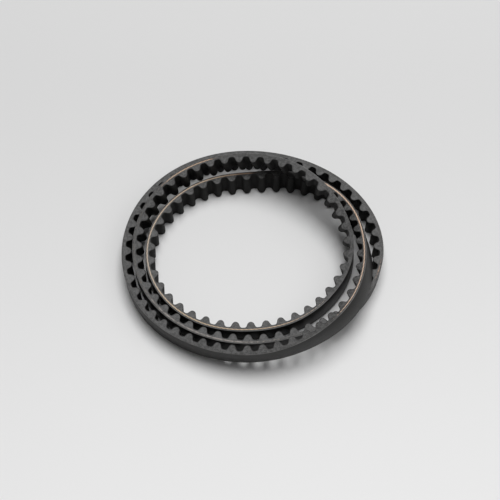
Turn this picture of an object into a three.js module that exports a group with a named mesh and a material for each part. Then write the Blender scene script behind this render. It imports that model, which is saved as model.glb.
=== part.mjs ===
// A synchronous belt, 131 teeth of 3 mm pitch, coiled loosely into three turns and laid on its edge.
// Millimetres, +Z up. The coil lies on Z = 0 with the middle of its box on the Z axis.

import * as THREE from 'three';
import { mergeGeometries, mergeVertices } from 'three/addons/utils/BufferGeometryUtils.js';

// Belt section
const TEETH = 131;
const WIDTH = 5;
const THICKNESS = 1.9;         // back to tooth tip
const TOOTH_HEIGHT = 1.14;
const TOOTH_ROOT_WIDTH = 1.96;
const TOOTH_TIP_WIDTH = 0.96;
const PITCH_LINE_DEPTH = 0.38; // middle of the cords, measured in from the back

// Layers, measured in from the back; neighbouring layers stand BOND apart
const BACK_COVER = 0.24;
const BOND = 0.04;
const FACING = 0.1;

// Cords: an S and a Z twist cord wound side by side, each moving one lead up the width in every lap
const CORD_WIDTH = 0.28;
const CORD_DEPTH = 0.2;
const CORD_LEAD = 0.86;
const CORD_END_MARGIN = 0.06;  // how far a cord's end stops short of the cut edge
const CORD_S_TOP = 4;          // links in which the cords end, just below the upper edge
const CORD_Z_TOP = 78;

// Route of the belt's back, as control stations of a smooth closed curve. Each turn starts at +Y and runs
// clockwise seen from above, and the stations are evenly spaced. Radius and lift are in millimetres; lift is
// the height of the lowest edge above the table; lean tips the upper edge outwards, in degrees.
const TURNS = 3;
const ROUTE = {
  radius: [
    18.7, 18.5, 18.6, 20.3, 18.1, 16.8, 16.0, 17.6, 20.1, 21.5, 19.7, 17.6,
    15.9, 18.9, 21.9, 22.1, 23.6, 21.9, 21.6, 22.0, 24.7, 25.8, 24.7, 22.6,
    21.3, 21.9, 24.4, 26.3, 23.1, 19.0, 18.7, 19.6, 22.3, 23.7, 22.5, 20.2,
  ],
  lift: [
    5.0, 6.6, 5.3, 1.6, 0.2, 0, 0, 0, 0, 0, 0, 0,
    0, 0, 0.4, 4.4, 6.4, 3.9, 2.3, 0.6, 0, 0, 0, 0,
    0, 0, 0, 0, 0, 0, 0, 0, 0.4, 1, 3.0, 3.8,
  ],
  lean: [
    -10, -17, -3, -4, -9, -4, 0, 0, -3, -4, 2, 6,
    9, 10, 2, -18, -25, -5, 2, -2, 0, 0, 0, 0,
    0, 0, 0, 0, 0, 0, 0, 0, -2, 0, 3, 0,
  ],
};

// Start of the first link on the route, in teeth. A link is one tooth with half a gap on each side.
const FIRST_LINK = 0.72;

const WELD = 1e-3;             // corners nearer than this are made one

// Value of one row of the route at a turn count from 0 to TURNS, by a uniform cubic B-spline.
function alongRoute(row, turn) {
  const place = THREE.MathUtils.euclideanModulo(turn / TURNS, 1) * row.length;
  const index = Math.floor(place);
  const t = place - index;
  const weights = [
    (1 - t) ** 3,
    3 * t ** 3 - 6 * t ** 2 + 4,
    -3 * t ** 3 + 3 * t ** 2 + 3 * t + 1,
    t ** 3,
  ];
  let sum = 0;
  weights.forEach((weight, k) => {
    sum += weight * row[(index + k - 1 + row.length) % row.length];
  });
  return sum / 6;
}

// Middle of the belt's back at a turn count.
function backPoint(turn) {
  const angle = Math.PI / 2 - 2 * Math.PI * turn;
  const radius = alongRoute(ROUTE.radius, turn);
  const lean = THREE.MathUtils.degToRad(alongRoute(ROUTE.lean, turn));
  const height = (WIDTH / 2) * Math.cos(lean) + THICKNESS * Math.max(0, Math.sin(-lean));
  return new THREE.Vector3(
    radius * Math.cos(angle),
    radius * Math.sin(angle),
    alongRoute(ROUTE.lift, turn) + height,
  );
}

// Directions at a turn count: up the belt's width, and outwards through its back.
function beltFrame(turn) {
  const step = 1e-4;
  const middle = backPoint(turn);
  const along = backPoint(turn + step).sub(backPoint(turn - step)).normalize();
  const outwards = new THREE.Vector3(-along.y, along.x, 0).normalize();
  const upright = new THREE.Vector3(0, 0, 1).addScaledVector(along, -along.z).normalize();
  const lean = THREE.MathUtils.degToRad(alongRoute(ROUTE.lean, turn));
  const up = upright.clone().multiplyScalar(Math.cos(lean)).addScaledVector(outwards, Math.sin(lean));
  const out = outwards.clone().multiplyScalar(Math.cos(lean)).addScaledVector(upright, -Math.sin(lean));
  return { middle, up, out };
}

// Turn counts at equal steps of length along the pitch line, from which any distance can be looked up.
function measureRoute(steps = 3600) {
  const distances = [0];
  let last = null;
  for (let i = 0; i <= steps; i += 1) {
    const { middle, out } = beltFrame((i / steps) * TURNS);
    const point = middle.addScaledVector(out, -PITCH_LINE_DEPTH);
    if (last) distances.push(distances.at(-1) + point.distanceTo(last));
    last = point;
  }
  return distances;
}

const DISTANCES = measureRoute();
const BELT_LENGTH = DISTANCES.at(-1);
const PITCH = BELT_LENGTH / TEETH;

// Turn count at a distance along the pitch line.
function turnAt(distance) {
  const target = THREE.MathUtils.euclideanModulo(distance, BELT_LENGTH);
  let low = 0;
  let high = DISTANCES.length - 1;
  while (high - low > 1) {
    const mid = (low + high) >> 1;
    if (DISTANCES[mid] <= target) low = mid;
    else high = mid;
  }
  const part = (target - DISTANCES[low]) / (DISTANCES[high] - DISTANCES[low]);
  return ((low + part) / (DISTANCES.length - 1)) * TURNS;
}

// Lays a straight piece of belt on the route: x runs along the belt, y outwards with the back at 0, z up.
function layOnRoute(geometry) {
  const position = geometry.attributes.position;
  const point = new THREE.Vector3();
  const frames = new Map();
  for (let i = 0; i < position.count; i += 1) {
    point.fromBufferAttribute(position, i);
    const key = point.x.toFixed(4);
    if (!frames.has(key)) frames.set(key, beltFrame(turnAt(point.x)));
    const { middle, up, out } = frames.get(key);
    const placed = middle.clone().addScaledVector(out, point.y).addScaledVector(up, point.z - WIDTH / 2);
    position.setXYZ(i, placed.x, placed.y, placed.z);
  }
  return geometry;
}

// Leaves out the triangles that lie wholly in one of a link's two end planes, so that links join into a band.
function openEnds(geometry, length) {
  const position = geometry.attributes.position;
  const kept = [];
  for (let i = 0; i < position.count; i += 3) {
    const corners = [0, 1, 2].map((k) => new THREE.Vector3().fromBufferAttribute(position, i + k));
    const inEnd = [0, length].some((end) => corners.every(({ x }) => Math.abs(x - end) < 1e-6));
    if (!inEnd) kept.push(...corners);
  }
  return new THREE.BufferGeometry().setFromPoints(kept);
}

// An endless band made of one link, a pitch long, repeated round the belt and joined end to end. The
// outline's points are places along the link and depths from the belt's back.
function endlessBand(outline) {
  const shape = new THREE.Shape(outline.map(([along, depth]) => new THREE.Vector2(along, -depth)));
  const solid = new THREE.ExtrudeGeometry(shape, { depth: WIDTH, bevelEnabled: false });
  const link = openEnds(solid.index ? solid.toNonIndexed() : solid, PITCH);
  const links = [];
  for (let i = 0; i < TEETH; i += 1) {
    const placed = link.clone().translate((i + FIRST_LINK) * PITCH, 0, 0);
    links.push(layOnRoute(placed));
  }
  return mergeVertices(mergeGeometries(links), WELD);
}

// The tooth's outline over one pitch, grown by a distance on every side.
function toothOutline(grown) {
  const root = TOOTH_ROOT_WIDTH / 2;
  const tip = TOOTH_TIP_WIDTH / 2;
  const base = THICKNESS - TOOTH_HEIGHT + grown;
  const flank = new THREE.Vector2(TOOTH_HEIGHT, root - tip).normalize();
  const spread = (grown * (1 - flank.y)) / flank.x;
  const middle = PITCH / 2;
  return [
    [0, base],
    [middle - root - spread, base],
    [middle - tip - spread, base + TOOTH_HEIGHT],
    [middle + tip + spread, base + TOOTH_HEIGHT],
    [middle + root + spread, base],
    [PITCH, base],
  ];
}

function backingRubber() {
  return endlessBand([[0, 0], [PITCH, 0], [PITCH, BACK_COVER], [0, BACK_COVER]]);
}

function toothRubber() {
  const webBack = PITCH_LINE_DEPTH + CORD_DEPTH / 2 + BOND;
  return endlessBand([...toothOutline(-FACING - BOND), [PITCH, webBack], [0, webBack]]);
}

function toothFacing() {
  return endlessBand([...toothOutline(0), ...toothOutline(-FACING).reverse()]);
}

// One cord, wound helically from the lower cut edge up to the upper one, where it ends at the given link.
function tensileCord(topLink) {
  const rise = WIDTH - CORD_WIDTH - 2 * CORD_END_MARGIN;
  const laps = rise / CORD_LEAD;
  const steps = Math.round(laps * TEETH);
  const section = new THREE.Shape();
  section.moveTo(-CORD_DEPTH / 2, -CORD_WIDTH / 2);
  section.lineTo(CORD_DEPTH / 2, -CORD_WIDTH / 2);
  section.lineTo(CORD_DEPTH / 2, CORD_WIDTH / 2);
  section.lineTo(-CORD_DEPTH / 2, CORD_WIDTH / 2);
  const length = steps * PITCH;
  const start = (topLink + FIRST_LINK) * PITCH - length;
  const cord = new THREE.ExtrudeGeometry(section, { depth: length, steps, bevelEnabled: false });
  const position = cord.attributes.position;
  for (let i = 0; i < position.count; i += 1) {
    const run = position.getZ(i);
    const height = CORD_END_MARGIN + CORD_WIDTH / 2 + (run / length) * rise + position.getY(i);
    position.setXYZ(i, start + run, position.getX(i) - PITCH_LINE_DEPTH, height);
  }
  cord.deleteAttribute('normal');
  cord.deleteAttribute('uv');
  return mergeVertices(layOnRoute(cord), WELD);
}

function piece(name, geometry, material) {
  const mesh = new THREE.Mesh(geometry, new THREE.MeshStandardMaterial({ metalness: 0, ...material }));
  mesh.name = name;
  return mesh;
}

const belt = new THREE.Group();
belt.add(
  piece('backing_rubber', backingRubber(), { color: 0x2b2a29, roughness: 0.6 }),
  piece('tooth_rubber', toothRubber(), { color: 0x343434, roughness: 0.75 }),
  piece('tooth_facing', toothFacing(), { color: 0x202021, roughness: 0.85 }),
  piece('tensile_cord_s', tensileCord(CORD_S_TOP), { color: 0xc9ad82, roughness: 0.7 }),
  piece('tensile_cord_z', tensileCord(CORD_Z_TOP), { color: 0xc4ae8e, roughness: 0.7 }),
);

// Stand the coil on the middle of its own box.
const box = new THREE.Box3().setFromObject(belt, true);
const centre = box.getCenter(new THREE.Vector3());
belt.position.set(-centre.x, -centre.y, -box.min.z);
belt.updateMatrixWorld(true);

export default belt;
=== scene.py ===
import math
from bisect import bisect_right

import bmesh
import bpy
from mathutils import Matrix, Vector


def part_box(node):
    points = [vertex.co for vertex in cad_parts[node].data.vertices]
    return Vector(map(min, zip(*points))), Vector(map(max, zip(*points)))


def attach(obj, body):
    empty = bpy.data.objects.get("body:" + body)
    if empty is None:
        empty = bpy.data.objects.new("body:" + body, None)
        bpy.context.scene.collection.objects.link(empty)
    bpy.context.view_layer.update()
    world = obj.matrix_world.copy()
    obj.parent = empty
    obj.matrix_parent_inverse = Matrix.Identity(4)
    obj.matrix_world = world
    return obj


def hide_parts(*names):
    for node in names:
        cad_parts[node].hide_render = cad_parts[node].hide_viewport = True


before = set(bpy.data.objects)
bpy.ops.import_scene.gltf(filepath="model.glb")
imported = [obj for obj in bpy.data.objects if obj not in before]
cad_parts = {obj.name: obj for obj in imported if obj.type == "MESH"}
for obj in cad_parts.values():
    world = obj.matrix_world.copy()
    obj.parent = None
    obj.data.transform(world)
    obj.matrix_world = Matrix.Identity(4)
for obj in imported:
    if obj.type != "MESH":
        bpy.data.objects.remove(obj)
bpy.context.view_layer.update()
print("frame loaded")

mm = 0.001

# The coil's route, as control stations of a smooth closed curve for the middle of the belt's back.
# Every turn starts at +Y and runs clockwise from above. Radius and lift in mm, lean in degrees.
route = {
    "turns": 3,
    "measuringSteps": 7200,
    "radius": [
        18.7, 18.5, 18.6, 20.3, 18.1, 16.8, 16.0, 17.6, 20.1, 21.5, 19.7, 17.6,
        15.9, 18.9, 21.9, 22.1, 23.6, 21.9, 21.6, 22.0, 24.7, 25.8, 24.7, 22.6,
        21.3, 21.9, 24.4, 26.3, 23.1, 19.0, 18.7, 19.6, 22.3, 23.7, 22.5, 20.2,
    ],
    "lift": [
        5.0, 6.6, 5.3, 1.6, 0.2, 0, 0, 0, 0, 0, 0, 0,
        0, 0, 0.4, 4.4, 6.4, 3.9, 2.3, 0.6, 0, 0, 0, 0,
        0, 0, 0, 0, 0, 0, 0, 0, 0.4, 1, 3.0, 3.8,
    ],
    "lean": [
        -10, -17, -3, -4, -9, -4, 0, 0, -3, -4, 2, 6,
        9, 10, 2, -18, -25, -5, 2, -2, 0, 0, 0, 0,
        0, 0, 0, 0, 0, 0, 0, 0, -2, 0, 3, 0,
    ],
}

# Belt section in mm. Depths are measured in from the back.
belt = {
    "teeth": 131,
    "width": 5.0,
    "thickness": 1.9,
    "firstLink": 0.72,     # where the first link starts on the route, in teeth
    "cordDepth": 0.38,     # the pitch line, and the middle of the cords
    "sharpAngle": 35,      # degrees past which an edge is shaded as a corner
    "weld": 1e-3,          # corners nearer than this are made one
    "slack": 1e-5,         # coordinates nearer than this are the same
}


def alongRoute(row, turn):
    place = turn / route["turns"] % 1 * len(row)
    index = int(place)
    t = place - index
    weights = ((1 - t) ** 3, 3 * t ** 3 - 6 * t ** 2 + 4, -3 * t ** 3 + 3 * t ** 2 + 3 * t + 1, t ** 3)
    return sum(weight * row[(index + k - 1) % len(row)] for k, weight in enumerate(weights)) / 6


def backPoint(turn):
    angle = math.pi / 2 - math.tau * turn
    radius = alongRoute(route["radius"], turn)
    lean = math.radians(alongRoute(route["lean"], turn))
    height = belt["width"] / 2 * math.cos(lean) + belt["thickness"] * max(0, math.sin(-lean))
    height += alongRoute(route["lift"], turn)
    return Vector((radius * math.cos(angle), radius * math.sin(angle), height))


# where the back's middle is at a turn count, with the directions up the width and out through the back
def beltFrame(turn, step=1e-4):
    along = (backPoint(turn + step) - backPoint(turn - step)).normalized()
    outwards = Vector((-along.y, along.x, 0)).normalized()
    upright = (Vector((0, 0, 1)) - along * along.z).normalized()
    lean = math.radians(alongRoute(route["lean"], turn))
    up = upright * math.cos(lean) + outwards * math.sin(lean)
    out = outwards * math.cos(lean) - upright * math.sin(lean)
    return backPoint(turn), up, out


def measureRoute():
    distances = [0.0]
    last = None
    for i in range(route["measuringSteps"] + 1):
        middle, up, out = beltFrame(i / route["measuringSteps"] * route["turns"])
        point = middle - out * belt["cordDepth"]
        if last is not None:
            distances.append(distances[-1] + (point - last).length)
        last = point
    return distances


distances = measureRoute()
beltLength = distances[-1]
pitch = beltLength / belt["teeth"]
print("belt length", round(beltLength, 2), "mm, pitch", round(pitch, 4), "mm")


def turnAt(distance):
    target = distance % beltLength
    low = min(bisect_right(distances, target) - 1, route["measuringSteps"] - 1)
    part = (target - distances[low]) / (distances[low + 1] - distances[low])
    return (low + part) / route["measuringSteps"] * route["turns"]


# Lays straight belt on the route: x runs along it, y outwards with the back at 0, z up the width.
def layOnRoute(bm):
    frames = {}
    for vert in bm.verts:
        key = round(vert.co.x % beltLength, 4)
        if key not in frames:
            frames[key] = beltFrame(turnAt(vert.co.x + belt["firstLink"] * pitch))
        middle, up, out = frames[key]
        vert.co = middle + out * vert.co.y + up * (vert.co.z - belt["width"] / 2)


def vertsOf(geom):
    return [item for item in geom if isinstance(item, bmesh.types.BMVert)]


# two coordinates of the straight belt in mm: along and up on uv "face", along and depth on uv "cut"
def addBeltUv(bm, arcAt=None):
    face = bm.loops.layers.uv.new("face")
    cut = bm.loops.layers.uv.new("cut")
    for item in bm.faces:
        for loop in item.loops:
            x, y, z = loop.vert.co
            loop[face].uv = (arcAt(x) if arcAt else x, z)
            loop[cut].uv = (x, y)


def repeatLink(bm, count, arcStep=None):
    layers = list(bm.loops.layers.uv)
    steps = (arcStep or pitch, pitch)
    link = bm.verts[:] + bm.edges[:] + bm.faces[:]
    for i in range(1, count):
        copy = bmesh.ops.duplicate(bm, geom=link)["geom"]
        bmesh.ops.translate(bm, verts=vertsOf(copy), vec=(i * pitch, 0, 0))
        for item in copy:
            if isinstance(item, bmesh.types.BMFace):
                for loop in item.loops:
                    for layer, step in zip(layers, steps):
                        loop[layer].uv.x += i * step


def liesAt(item, axis, place):
    return all(abs(vert.co[axis] - place) < belt["slack"] for vert in item.verts)


def openEnds(bm):
    ends = [item for item in bm.faces if liesAt(item, 0, 0) or liesAt(item, 0, pitch)]
    bmesh.ops.delete(bm, geom=ends, context="FACES")


# cut faces, on the belt's two edges, take the second material
def markCutFaces(bm):
    for item in bm.faces:
        item.material_index = 1 if liesAt(item, 2, 0) or liesAt(item, 2, belt["width"]) else 0


routeShift = Vector((0, 0, 0))


def finishPiece(bm, name, node, materials):
    bmesh.ops.remove_doubles(bm, verts=bm.verts[:], dist=belt["weld"])
    bmesh.ops.recalc_face_normals(bm, faces=bm.faces[:])
    bmesh.ops.scale(bm, verts=bm.verts[:], vec=(mm, mm, mm))
    bmesh.ops.translate(bm, verts=bm.verts[:], vec=routeShift)
    limit = math.radians(belt["sharpAngle"])
    for item in bm.faces:
        item.smooth = True
    for edge in bm.edges:
        edge.smooth = len(edge.link_faces) == 2 and edge.calc_face_angle(0) < limit
    mesh = bpy.data.meshes.new(name)
    bm.to_mesh(mesh)
    bm.free()
    piece = bpy.data.objects.new(name, mesh)
    bpy.context.scene.collection.objects.link(piece)
    for material in materials:
        mesh.materials.append(material)
    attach(piece, "root")
    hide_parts(node)
    print("made", name, len(mesh.polygons), "faces")



class Value:                      # an output socket that can be used in plain arithmetic
    def __init__(self, socket):
        self.socket = socket

    def combine(self, operation, first, second):
        tree = self.socket.id_data
        node = tree.nodes.new("ShaderNodeMath")
        node.operation = operation
        for place, item in enumerate((first, second)):
            if isinstance(item, Value):
                tree.links.new(item.socket, node.inputs[place])
            else:
                node.inputs[place].default_value = item
        return Value(node.outputs[0])

    def __add__(self, other):
        return self.combine("ADD", self, other)

    def __radd__(self, other):
        return self.combine("ADD", other, self)

    def __sub__(self, other):
        return self.combine("SUBTRACT", self, other)

    def __rsub__(self, other):
        return self.combine("SUBTRACT", other, self)

    def __mul__(self, other):
        return self.combine("MULTIPLY", self, other)

    def __rmul__(self, other):
        return self.combine("MULTIPLY", other, self)

    def __truediv__(self, other):
        return self.combine("DIVIDE", self, other)

    def __pow__(self, other):
        return self.combine("POWER", self, other)

    def sine(self):
        return self.combine("SINE", self, 0)


class Finish:                     # one material and the nodes behind its shader
    def __init__(self, name, shine):
        self.material = bpy.data.materials.new(name)
        self.material.use_nodes = True
        self.tree = self.material.node_tree
        self.shader = self.tree.nodes["Principled BSDF"]
        self.shader.inputs["Specular IOR Level"].default_value = shine

    def add(self, kind, settings, sockets, out=0):
        node = self.tree.nodes.new(kind)
        for key, value in settings.items():
            if key == "stops":
                ramp = node.color_ramp.elements
                while len(ramp) < len(value):
                    ramp.new(0.5)
                for element, (position, colour) in zip(ramp, value):
                    element.position = position
                    element.color = colour
            else:
                setattr(node, key, value)
        for key, value in sockets.items():
            self.feed(node.inputs[key], value)
        return Value(node.outputs[out])

    def feed(self, socket, value):
        if isinstance(value, Value):
            self.tree.links.new(value.socket, socket)
        else:
            socket.default_value = value

    # belt coordinates in mm from one of the piece's uv maps, stretched by its own factors
    def place(self, uv, stretch):
        coords = self.add("ShaderNodeUVMap", {"uv_map": uv}, {})
        return self.add("ShaderNodeMapping", {}, {"Vector": coords, "Scale": stretch})

    # the object's coordinates in mm
    def space(self):
        coords = self.add("ShaderNodeTexCoord", {}, {}, "Object")
        return self.add("ShaderNodeMapping", {}, {"Vector": coords, "Scale": (1 / mm, 1 / mm, 1 / mm)})

    # a piece's two uv coordinates as separate values
    def uvParts(self, uv):
        coords = self.add("ShaderNodeUVMap", {"uv_map": uv}, {})
        first = self.add("ShaderNodeSeparateXYZ", {}, {"Vector": coords})
        return first, Value(first.socket.node.outputs["Y"])

    def noise(self, vector, scale, detail, roughness):
        return self.add("ShaderNodeTexNoise", {}, {
            "Vector": vector, "Scale": scale, "Detail": detail, "Roughness": roughness}, "Fac")

    def ramp(self, value, low, high, first=0.0, last=1.0):
        return self.add("ShaderNodeMapRange", {"interpolation_type": "SMOOTHSTEP"}, {
            "Value": value, "From Min": low, "From Max": high, "To Min": first, "To Max": last}, "Result")

    def mix(self, factor, first, second):
        return self.add("ShaderNodeMix", {"data_type": "RGBA"}, {0: factor, 6: first, 7: second}, 2)

    def bump(self, height, strength, distance):
        return self.add("ShaderNodeBump", {}, {"Height": height, "Strength": strength, "Distance": distance})

    def surface(self, **links):
        for socket, value in links.items():
            self.feed(self.shader.inputs[socket.replace("_", " ")], value)
        return self.material


def grey(level, warmth=0.0):
    return (level * (1 + warmth), level, level * (1 - warmth), 1)


# Noises below are how many to the mm, detail and roughness. Ranges are where a ramp starts and ends.
# Bumps are strength and depth in m.
cutFace = {
    "dark": grey(0.018, 0.02),
    "colour": grey(0.070, 0.01),
    "pale": grey(0.12, 0.02),
    "shine": 0.45,
    "roughness": 0.55,
    "stretch": (0.5, 9, 1),
    "streaks": (1.4, 4.0, 0.55),
    "blotches": (1.9, 5.0, 0.7),
    "blotchShare": 0.7,
    "toneRange": (0.44, 0.57),
    "specks": (4.5, 1.0, 0.55),
    "speckRange": (0.64, 0.74),
    "speckStrength": 0.35,
    "grain": (9.0, 2.0, 0.7),
    "grainShare": 0.4,
    "grainRough": 0.3,
    "blotchRough": 0.25,
    "bump": (0.8, 0.00006),
}


# the edges, slit with a knife: drawn-out streaks along the belt, fine grain and a few pale specks
def cutRubber():
    finish = Finish("cutRubber", cutFace["shine"])
    streaks = finish.noise(finish.place("cut", cutFace["stretch"]), *cutFace["streaks"])
    blotches = finish.noise(finish.space(), *cutFace["blotches"])
    grain = finish.noise(finish.space(), *cutFace["grain"])
    specks = finish.ramp(finish.noise(finish.space(), *cutFace["specks"]), *cutFace["speckRange"])
    blend = streaks * (1 - cutFace["blotchShare"]) + blotches * cutFace["blotchShare"]
    colour = finish.mix(finish.ramp(blend, *cutFace["toneRange"]), cutFace["dark"], cutFace["colour"])
    colour = finish.mix(specks * cutFace["speckStrength"], colour, cutFace["pale"])
    height = streaks * (1 - cutFace["grainShare"]) + grain * cutFace["grainShare"]
    rough = cutFace["roughness"] + (grain - 0.5) * cutFace["grainRough"]
    rough = rough + (blotches - 0.5) * cutFace["blotchRough"]
    return finish.surface(Base_Color=colour, Roughness=rough, Normal=finish.bump(height, *cutFace["bump"]))


groundBack = {
    "dark": grey(0.008, 0.05),
    "pale": grey(0.020, 0.06),
    "shine": 0.25,
    "roughness": 0.5,
    "stretch": (0.35, 11, 1),
    "scratches": (1.6, 4.0, 0.6),
    "bloom": (0.35, 4.0, 0.55),
    "toneRange": (0.38, 0.68),
    "grain": (14.0, 2.0, 0.7),
    "scratchRough": 0.3,
    "bloomRough": 0.2,
    "bump": (0.45, 0.00003),
    "rim": 0.14,                  # mm of the back beside each edge that carries a painted highlight
    "rimHighlightColour": grey(0.15, 0.02),
    "rimRange": (0.38, 0.58),
    "rimLeast": 0.35,             # how pale the painted rim highlight stays between its brightest stretches
    "rimBloomShare": 0.6,
}


# the back, ground to thickness: fine scratches along the belt, a dusty bloom and a painted highlight along
# both long corners
def groundRubber():
    finish = Finish("groundRubber", groundBack["shine"])
    scratches = finish.noise(finish.place("face", groundBack["stretch"]), *groundBack["scratches"])
    bloom = finish.noise(finish.space(), *groundBack["bloom"])
    grain = finish.noise(finish.space(), *groundBack["grain"])
    along, up = finish.uvParts("face")
    middle = belt["width"] / 2
    # painted highlight: the rim beside each long edge is mixed towards a pale grey, broken up by the
    # scratches and bloom
    rim = finish.ramp((up - middle) ** 2, (middle - groundBack["rim"]) ** 2, middle ** 2)
    blend = scratches * (1 - groundBack["rimBloomShare"]) + bloom * groundBack["rimBloomShare"]
    paintedRimHighlight = rim * finish.ramp(blend, *groundBack["rimRange"], groundBack["rimLeast"], 1.0)
    tone = finish.ramp((scratches + bloom) * 0.5, *groundBack["toneRange"])
    colour = finish.mix(tone, groundBack["dark"], groundBack["pale"])
    colour = finish.mix(paintedRimHighlight, colour, groundBack["rimHighlightColour"])
    rough = groundBack["roughness"] + (scratches - 0.5) * groundBack["scratchRough"]
    rough = rough + (bloom - 0.5) * groundBack["bloomRough"]
    bump = finish.bump((scratches + grain) * 0.5, *groundBack["bump"])
    return finish.surface(Base_Color=colour, Roughness=rough, Normal=bump)


cloth = {
    "thread": 0.16,               # mm from thread to thread
    "twillShare": 0.6,
    "dark": grey(0.008, 0.02),
    "pale": grey(0.02, 0.05),
    "shine": 0.2,
    "roughness": 0.75,
    "wear": (1.1, 4.0, 0.55),
    "toneRange": (0.35, 0.8),
    "wearRough": 0.4,
    "bump": (0.6, 0.00003),
}


# the tooth facing: a fine twill, filled with rubber and rubbed pale on its high threads
def twillFacing():
    finish = Finish("twillFacing", cloth["shine"])
    turns = math.tau / cloth["thread"]
    along, up = finish.uvParts("face")
    warp = (along * turns).sine()
    twill = ((along + up) * (turns / 2)).sine()
    weave = (warp * (1 - cloth["twillShare"]) + twill * cloth["twillShare"]) * 0.5 + 0.5
    wear = finish.noise(finish.space(), *cloth["wear"])
    tone = finish.ramp((weave + wear) * 0.5, *cloth["toneRange"])
    colour = finish.mix(tone, cloth["dark"], cloth["pale"])
    rough = cloth["roughness"] + (wear - 0.5) * cloth["wearRough"]
    return finish.surface(Base_Color=colour, Roughness=rough, Normal=finish.bump(weave, *cloth["bump"]))


clothEdge = {
    "colour": grey(0.014, 0.03),
    "shine": 0.35,
    "roughness": 0.6,
    "threads": (7.0, 2.0, 0.7),
    "toneRange": (0.35, 0.7),
    "threadRough": 0.4,
    "bump": (0.5, 0.00002),
}


# the facing where it is cut through, at the belt's two edges
def cutFacing():
    finish = Finish("cutFacing", clothEdge["shine"])
    threads = finish.noise(finish.space(), *clothEdge["threads"])
    colour = finish.mix(finish.ramp(threads, *clothEdge["toneRange"]), cloth["dark"], clothEdge["colour"])
    rough = clothEdge["roughness"] + (threads - 0.5) * clothEdge["threadRough"]
    return finish.surface(Base_Color=colour, Roughness=rough, Normal=finish.bump(threads, *clothEdge["bump"]))


edgeRubber = cutRubber()
backRubber = groundRubber()
facingCloth = twillFacing()
facingEdge = cutFacing()
print("rubber and cloth finishes made")

backing = {
    "depth": 0.38,                # down to the pitch line, where the tooth rubber starts
    "edgeRound": 0.07,            # the ground back's two long corners
    "roundSteps": 2,
    "slices": 5,                  # how many flats a link's curve is made of
}


def makeBacking():
    bm = bmesh.new()
    bmesh.ops.create_cube(bm, size=1)
    bmesh.ops.scale(bm, verts=bm.verts[:], vec=(pitch, backing["depth"], belt["width"]))
    bmesh.ops.translate(bm, verts=bm.verts[:], vec=(pitch / 2, -backing["depth"] / 2, belt["width"] / 2))
    corners = [e for e in bm.edges if liesAt(e, 1, 0) and (liesAt(e, 2, 0) or liesAt(e, 2, belt["width"]))]
    bmesh.ops.bevel(bm, geom=corners, offset=backing["edgeRound"], offset_type="OFFSET", affect="EDGES",
                    segments=backing["roundSteps"], profile=0.5, material=-1)
    for i in range(1, backing["slices"]):
        bmesh.ops.bisect_plane(bm, geom=bm.verts[:] + bm.edges[:] + bm.faces[:],
                               plane_co=(pitch * i / backing["slices"], 0, 0), plane_no=(1, 0, 0))
    openEnds(bm)
    markCutFaces(bm)
    addBeltUv(bm)
    repeatLink(bm, belt["teeth"])
    layOnRoute(bm)
    return bm


backingMesh = makeBacking()

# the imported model's middle gives how far the route is moved
low, high = (Vector(corner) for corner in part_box("backing_rubber"))
xs, ys, zs = zip(*(vert.co for vert in backingMesh.verts))
routeShift = Vector((
    (low.x + high.x) / 2 - (min(xs) + max(xs)) / 2 * mm,
    (low.y + high.y) / 2 - (min(ys) + max(ys)) / 2 * mm,
    low.z - min(zs) * mm,
))
print("route moved by", [round(value / mm, 3) for value in routeShift], "mm")
finishPiece(backingMesh, "backingRubber", "backing_rubber", [backRubber, edgeRubber])

tooth = {
    "height": 1.14,
    "rootWidth": 1.96,
    "tipWidth": 0.96,
    "tipRound": 0.44,             # length of flank and tip that the rounding takes
    "tipSteps": 4,
    "rootRound": 0.26,
    "rootSteps": 2,
    "facing": 0.1,
}


# the tooth side over one pitch: a bent strip as wide as the belt, its corners rounded
def toothStrip():
    bm = bmesh.new()
    middle, root, tip = pitch / 2, tooth["rootWidth"] / 2, tooth["tipWidth"] / 2
    floor, top = tooth["height"] - belt["thickness"], -belt["thickness"]
    outline = [(0, floor), (middle - root, floor), (middle - tip, top),
               (middle + tip, top), (middle + root, floor), (pitch, floor)]
    verts = [bm.verts.new((x, y, 0)) for x, y in outline]
    edges = [bm.edges.new(pair) for pair in zip(verts, verts[1:])]
    raised = vertsOf(bmesh.ops.extrude_edge_only(bm, edges=edges)["geom"])
    bmesh.ops.translate(bm, verts=raised, vec=(0, 0, belt["width"]))
    for half, size, steps in ((root, tooth["rootRound"], tooth["rootSteps"]),
                              (tip, tooth["tipRound"], tooth["tipSteps"])):
        across = [e for e in bm.edges if (liesAt(e, 0, middle - half) or liesAt(e, 0, middle + half))
                  and abs(e.verts[0].co.z - e.verts[1].co.z) > belt["width"] / 2]
        bmesh.ops.bevel(bm, geom=across, offset=size, offset_type="OFFSET", affect="EDGES",
                        segments=steps, profile=0.5, material=-1)
    bmesh.ops.recalc_face_normals(bm, faces=bm.faces[:])
    if sum(f.normal.y for f in bm.faces) > 0:
        bmesh.ops.reverse_faces(bm, faces=bm.faces[:])
    return bm


# length along the tooth side at a place on the link
def toothArc(bm):
    profile = sorted((v.co.x, v.co.y) for v in bm.verts if abs(v.co.z) < belt["slack"])
    arcs = [0.0]
    for (x0, y0), (x1, y1) in zip(profile, profile[1:]):
        arcs.append(arcs[-1] + math.hypot(x1 - x0, y1 - y0))
    places = [x for x, y in profile]

    def arcAt(x):
        i = min(max(bisect_right(places, x) - 1, 0), len(places) - 2)
        return arcs[i] + (x - places[i]) / (places[i + 1] - places[i]) * (arcs[i + 1] - arcs[i])

    return arcAt, arcs[-1]


def makeFacing():
    bm = toothStrip()
    arcAt, arcStep = toothArc(bm)
    bmesh.ops.solidify(bm, geom=bm.faces[:], thickness=tooth["facing"])
    openEnds(bm)
    markCutFaces(bm)
    addBeltUv(bm, arcAt)
    repeatLink(bm, belt["teeth"], arcStep)
    layOnRoute(bm)
    return bm


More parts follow.
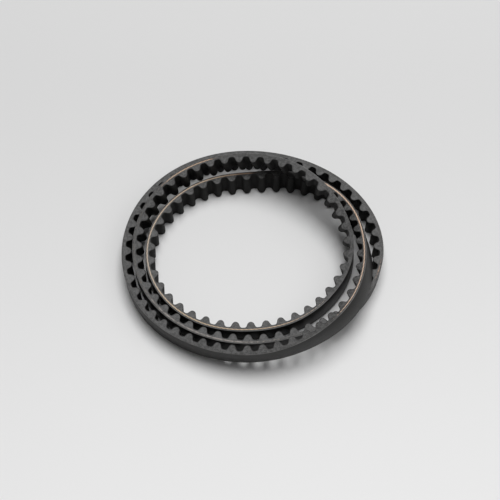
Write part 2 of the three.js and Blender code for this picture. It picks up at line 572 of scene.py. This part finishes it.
# rubber of the teeth: the facing's inner side, drawn back to the pitch line
def makeTeeth():
    bm = toothStrip()
    inner = bmesh.ops.solidify(bm, geom=bm.faces[:], thickness=tooth["facing"])["geom"]
    bmesh.ops.delete(bm, geom=[f for f in bm.faces if f not in inner], context="FACES")
    drawn = vertsOf(bmesh.ops.extrude_face_region(bm, geom=bm.faces[:])["geom"])
    bmesh.ops.scale(bm, verts=drawn, vec=(1, 0, 1))
    bmesh.ops.translate(bm, verts=drawn, vec=(0, -backing["depth"], 0))
    openEnds(bm)
    markCutFaces(bm)
    addBeltUv(bm)
    repeatLink(bm, belt["teeth"])
    layOnRoute(bm)
    return bm


finishPiece(makeTeeth(), "toothRubber", "tooth_rubber", [facingCloth, edgeRubber])
finishPiece(makeFacing(), "toothFacing", "tooth_facing", [facingCloth, facingEdge])

cords = {
    "round": 0.28,                # diameter in mm
    "lead": 0.86,                 # rise up the width in one lap of the belt
    "sides": 12,
    "slices": 5,                  # in one link's length
    "proud": 0.02,                # how far a cut cord stands out of the belt's edge
    "stub": 0.004,                # half the width of a cord's last thread
    "edgeLinkS": 34,              # link where each cord's middle meets the upper edge
    "edgeLinkZ": 108,
}

yarn = {
    "lay": 0.9,                   # mm along the cord for one turn of the twist
    "strands": 3,
    "valley": (0.17, 0.10, 0.06, 1),
    "smearAndShade": grey(0.045, 0.05),   # rubber dragged over the cut yarn by the knife; also laid over the S cord's shaded stretch as painted shade
    "shine": 0.4,
    "roughness": 0.5,
    "fibres": (11.0, 3.0, 0.6),
    "fibreRange": (0.3, 0.55, 0.7, 1.0),
    "fibreRough": 0.3,
    "fibreShare": 0.3,
    "strandRange": (0.1, 0.7),
    "patches": (1.6, 3.0, 0.55),
    "patchStrength": 1.2,         # how much the smear and painted shade are broken up
    "bareRange": (0.25, 0.75),
    "bump": (0.6, 0.00004),
    # where each cord comes out of the upper edge: links past its middle, colour, and how bare it lies
    "endS": [
        (-23, (0.50, 0.42, 0.37), 0.30),
        (-17, (0.48, 0.36, 0.24), 0.80),
        (-12, (0.50, 0.39, 0.26), 1.0),
        (-7, (0.46, 0.39, 0.31), 1.0),
        (1, (0.46, 0.36, 0.26), 0.9),
        # links 3.6 to 7.6 of the S cord: painted shade, the yarn darkened and covered with the smear colour
        # where this stretch of edge lies in shadow
        (3.6, (0.30, 0.20, 0.14), 0.7),
        (4.8, (0.20, 0.14, 0.10), 0.0),
        (7.6, (0.50, 0.37, 0.28), 0.0),
        (8.4, (0.60, 0.45, 0.34), 0.9),
        (19, (0.60, 0.45, 0.35), 0.9),
        (20.5, (0.50, 0.38, 0.30), 0.3),
        (21.6, (0.50, 0.38, 0.30), 0.0),
    ],
    "endZ": [
        (-11.2, (0.34, 0.23, 0.18), 0.0),
        (-10.3, (0.34, 0.23, 0.18), 0.5),
        (-9.5, (0.34, 0.23, 0.18), 0.5),
        (-8.7, (0.34, 0.23, 0.18), 0.0),
        (-4, (0.20, 0.19, 0.18), 0.0),
        (1, (0.24, 0.24, 0.235), 0.58),
        (6, (0.24, 0.24, 0.235), 0.58),
        (9, (0.12, 0.115, 0.11), 0.35),
        (15.5, (0.10, 0.09, 0.085), 0.25),
        (16.8, (0.46, 0.34, 0.24), 0.8),
        (19.4, (0.44, 0.31, 0.21), 0.8),
        (20.6, (0.30, 0.20, 0.14), 0.0),
    ],
}

cordSlope = cords["lead"] / beltLength
cordFoot = -cords["round"] / 2 - cords["proud"]
cordEnd = (belt["width"] - cordFoot) / cordSlope     # mm along a cord to where it meets the upper edge


# Twisted glass yarn: slanting strands with dark valleys, smeared over where the end's stops say so; on one
# stretch of the S cord the stops paint shade instead.
# Hand is 1 for S and -1 for Z.
def twistedYarn(name, stops, hand):
    finish = Finish(name, yarn["shine"])
    along, around = finish.uvParts("yarn")
    phase = along * (hand * math.tau / yarn["lay"]) + around * (math.tau * yarn["strands"])
    strand = phase.sine() * 0.5 + 0.5
    fibres = finish.noise(finish.space(), *yarn["fibres"])
    patches = finish.noise(finish.space(), *yarn["patches"])
    first, last = stops[0][0], stops[-1][0]
    links = (along - cordEnd) / pitch
    places = [((link - first) / (last - first), (*colour, bare)) for link, colour, bare in stops]
    shown = finish.add("ShaderNodeValToRGB", {"stops": places}, {"Fac": (links - first) / (last - first)})
    broken = Value(shown.socket.node.outputs["Alpha"]) + (patches - 0.5) * yarn["patchStrength"]
    tone = finish.ramp(strand ** 0.5, *yarn["strandRange"]) * finish.ramp(fibres, *yarn["fibreRange"])
    colour = finish.mix(tone, yarn["valley"], shown)
    colour = finish.mix(finish.ramp(broken, *yarn["bareRange"]), yarn["smearAndShade"], colour)
    height = strand * (1 - yarn["fibreShare"]) + fibres * yarn["fibreShare"]
    rough = yarn["roughness"] + (fibres - 0.5) * yarn["fibreRough"]
    return finish.surface(Base_Color=colour, Roughness=rough, Normal=finish.bump(height, *yarn["bump"]))


# length along the yarn in mm, and turns round it, which may pass 1 at the seam
def addYarnUv(bm):
    twist = bm.loops.layers.uv.new("yarn")
    for face in bm.faces:
        middle = face.calc_center_median()
        facing = math.atan2(middle.y, middle.z)
        for loop in face.loops:
            x, y, z = loop.vert.co
            turn = (math.atan2(y, z) - facing + math.pi) % math.tau - math.pi + facing
            loop[twist].uv = (x, turn / math.tau)


# One cord: a rod wound up the width in a shallow screw, its ends ground flat by the belt's two edges.
def makeCord(edgeLink):
    bm = bmesh.new()
    radius = cords["round"] / 2
    top = belt["width"] + cords["proud"]
    links = math.ceil((belt["width"] - 2 * cordFoot) / cordSlope / pitch)
    ring = bmesh.ops.create_circle(bm, cap_ends=False, segments=cords["sides"], radius=radius)["verts"]
    bmesh.ops.rotate(bm, verts=ring, cent=(0, 0, 0), matrix=Matrix.Rotation(math.pi / 2, 3, "Y"))
    edges = bm.edges[:]
    for i in range(cords["slices"]):
        grown = bmesh.ops.extrude_edge_only(bm, edges=edges)["geom"]
        bmesh.ops.translate(bm, verts=vertsOf(grown), vec=(pitch / cords["slices"], 0, 0))
        edges = [item for item in grown if isinstance(item, bmesh.types.BMEdge)
                 and all(v in grown for v in item.verts)]
    addYarnUv(bm)
    repeatLink(bm, links)
    bmesh.ops.remove_doubles(bm, verts=bm.verts[:], dist=belt["weld"])
    bmesh.ops.holes_fill(bm, edges=[e for e in bm.edges if e.is_boundary], sides=cords["sides"])
    for vert in bm.verts:
        x, y, z = vert.co
        middle = cordFoot + x * cordSlope
        height = min(max(middle + z, -cords["proud"]), top)
        if height != middle + z:                     # cut flush, so it keeps to the cut's own width
            reach = math.sqrt(max(radius ** 2 - (height - middle) ** 2, 0)) + cords["stub"]
            y = min(max(y, -reach), reach)
        vert.co = (edgeLink * pitch - cordEnd + x, y - belt["cordDepth"], height)
    layOnRoute(bm)
    return bm


yarnS = twistedYarn("yarnS", yarn["endS"], 1)
yarnZ = twistedYarn("yarnZ", yarn["endZ"], -1)
finishPiece(makeCord(cords["edgeLinkS"]), "tensileCordS", "tensile_cord_s", [yarnS])
finishPiece(makeCord(cords["edgeLinkZ"]), "tensileCordZ", "tensile_cord_z", [yarnZ])

studio = {
    "floorSize": 3.0,
    "floorCells": 8,
    "floorFarShaded": grey(0.62),
    "floorNearLit": grey(0.83),
    "floorShine": 0.2,
    "floorRoughness": 0.75,
    "clouds": (6.0, 2.0, 0.55),        # noise to the metre, detail, roughness
    "cloudStrength": 0.1,
    "paintedLightFrom": -0.085,                # painted light: the floor's colour pales towards the front between these two places, in m, in place of the lamps' uneven light
    "paintedLightTo": 0.05,
    "camera": (-0.52, -89.5, 230.5),   # mm
    "tilt": 21.7,                      # degrees from looking straight down
    "lens": 90,
    "clipStart": 0.01,
    "keyPlace": (0.030, 0.166, 0.576),
    "keySize": 0.36,
    "keyPower": 3.37,
    "fillPlace": (0.43, 0.05, 0.55),
    "fillSize": 0.5,
    "fillPower": 0.74,
    "sky": 0.136,
}


def makeFloor():
    bm = bmesh.new()
    cells = studio["floorCells"]
    bmesh.ops.create_grid(bm, x_segments=cells, y_segments=cells, size=studio["floorSize"] / 2)
    mesh = bpy.data.meshes.new("floor")
    bm.to_mesh(mesh)
    bm.free()
    floor = bpy.data.objects.new("floor", mesh)
    bpy.context.scene.collection.objects.link(floor)
    paper = Finish("paper", studio["floorShine"])
    spot = paper.add("ShaderNodeTexCoord", {}, {}, "Object")
    cloud = paper.noise(spot, *studio["clouds"])
    depth = paper.add("ShaderNodeSeparateXYZ", {}, {"Vector": spot}, "Y")
    # painted light: the floor's colour runs from the darker far grey to the paler near grey, standing in for
    # how the lamps light the floor
    tone = paper.ramp(depth, studio["paintedLightFrom"], studio["paintedLightTo"], 1.0, 0.0)
    tone = tone + (cloud - 0.5) * studio["cloudStrength"]
    colour = paper.mix(tone, studio["floorFarShaded"], studio["floorNearLit"])
    mesh.materials.append(paper.surface(Base_Color=colour, Roughness=studio["floorRoughness"]))


def addSoftbox(name, place, size, power):
    lamp = bpy.data.lights.new(name, "AREA")
    lamp.shape = "DISK"
    lamp.size = size
    lamp.energy = power
    softbox = bpy.data.objects.new(name, lamp)
    softbox.location = place
    softbox.rotation_euler = Vector(place).to_track_quat("Z", "Y").to_euler()
    bpy.context.scene.collection.objects.link(softbox)


def addCamera():
    camera = bpy.data.objects.new("camera", bpy.data.cameras.new("camera"))
    camera.data.lens = studio["lens"]
    camera.data.clip_start = studio["clipStart"]
    camera.location = Vector(studio["camera"]) * mm
    camera.rotation_euler = (math.radians(studio["tilt"]), 0, 0)
    bpy.context.scene.collection.objects.link(camera)
    bpy.context.scene.camera = camera


makeFloor()
addCamera()
addSoftbox("key", studio["keyPlace"], studio["keySize"], studio["keyPower"])
addSoftbox("fill", studio["fillPlace"], studio["fillSize"], studio["fillPower"])
world = bpy.data.worlds.new("studio")
world.use_nodes = True
world.node_tree.nodes["Background"].inputs["Color"].default_value = grey(1.0)
world.node_tree.nodes["Background"].inputs["Strength"].default_value = studio["sky"]
bpy.context.scene.world = world
bpy.context.scene.view_settings.view_transform = "Standard"
print("studio made")
